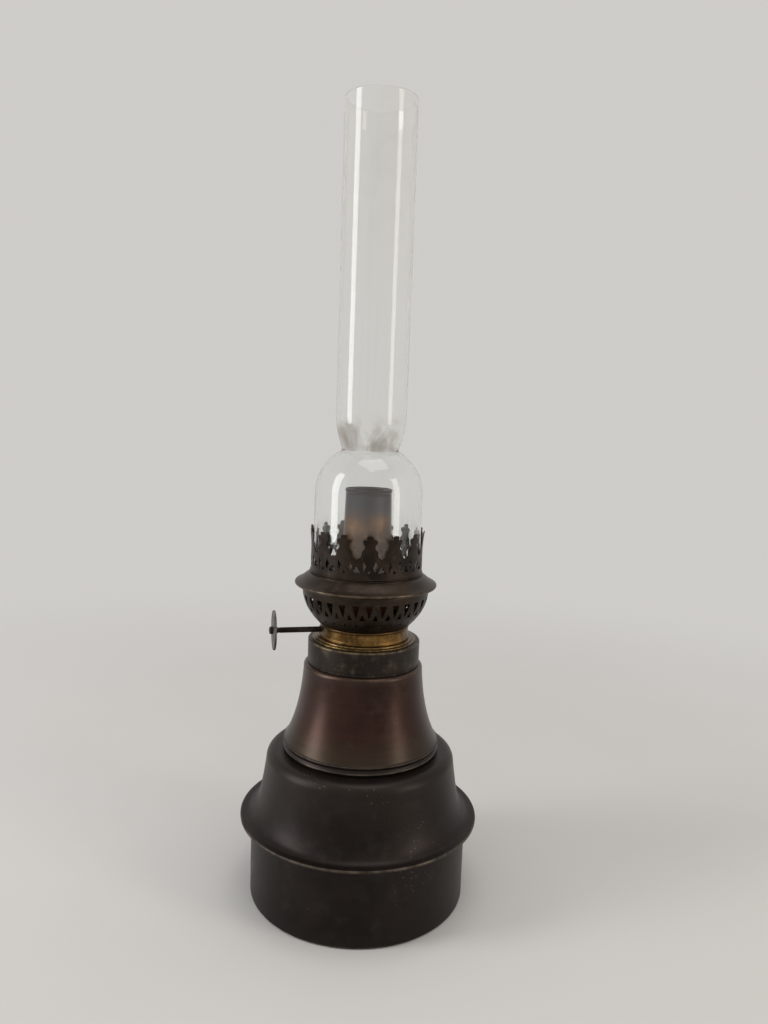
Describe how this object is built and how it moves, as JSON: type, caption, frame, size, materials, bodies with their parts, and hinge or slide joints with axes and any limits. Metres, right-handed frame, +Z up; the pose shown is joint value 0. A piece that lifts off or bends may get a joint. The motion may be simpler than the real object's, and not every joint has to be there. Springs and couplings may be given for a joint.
{
  "type": "kerosene lamp",
  "caption": "Kerosene lamp with a round metal fount, a round-wick side-draught burner with a winding spindle, a pierced gallery and a tall glass chimney.",
  "frame": {"origin": "centre of the fount's flat base, on the ground", "axes": "+Z up along the lamp's axis; the wick spindle and its thumbwheel leave along -X"},
  "size_m": [0.1228, 0.1228, 0.3965],
  "materials": {
    "dark_fount": "dark satin patina",
    "copper_bell": "brown copper-toned satin patina",
    "collar_metal": "dull worn patina",
    "bright_brass": "worn bright brass",
    "aged_brass": "oxidised brown brass",
    "heated_brass": "heat-tinted brass",
    "spindle_metal": "dark oxidised steel",
    "wick_cotton": "woven cotton, charred at the top",
    "clear_glass": "clear blown glass, slightly dusty"
  },
  "bodies": {
    "fount": {"drum_cup": "dark_fount", "shoulder_bell": "dark_fount", "step_band": "dark_fount", "neck_bell": "copper_bell", "collar": "collar_metal", "collar_insert": "bright_brass"},
    "burner": {"burner_skirt": "bright_brass", "burner_flange": "bright_brass", "burner_ring": "bright_brass", "burner_floor": "aged_brass", "flame_tube": "heated_brass", "inner_air_tube": "aged_brass", "side_air_duct": "aged_brass", "spindle_gland": "spindle_metal", "spindle_bearing": "spindle_metal"},
    "spindle": {"spindle_shaft": "spindle_metal", "sprocket_wheels": "spindle_metal", "thumbwheel": "spindle_metal", "thumbwheel_rivet": "spindle_metal"},
    "wick": {"wick": "wick_cotton"},
    "gallery": {"basket_sleeve": "aged_brass", "basket": "aged_brass", "gallery_rim": "aged_brass", "crown": "aged_brass", "chimney_seat": "aged_brass"},
    "chimney": {"chimney": "clear_glass"}
  },
  "joints": [
    {"name": "burner_lift", "type": "slide", "parent": "fount", "child": "burner", "axis": [0, 0, 1], "range_m": [0, 0.125]},
    {"name": "spindle_turn", "type": "hinge", "parent": "burner", "child": "spindle", "pos_m": [0, 0.0034, 0.138], "axis": [1, 0, 0], "range_deg": [-138, 57]},
    {"name": "wick_slide", "type": "slide", "parent": "burner", "child": "wick", "axis": [0, 0, 1], "range_m": [-0.012, 0.005]},
    {"name": "gallery_lift", "type": "slide", "parent": "burner", "child": "gallery", "axis": [0, 0, 1], "range_m": [0, 0.075]},
    {"name": "chimney_lift", "type": "slide", "parent": "gallery", "child": "chimney", "axis": [0, 0, 1], "range_m": [0, 0.065]}
  ],
  "couplings": [
    {"joint": "wick_slide", "follows": "spindle_turn", "m_per_rad": 0.0048}
  ]
}
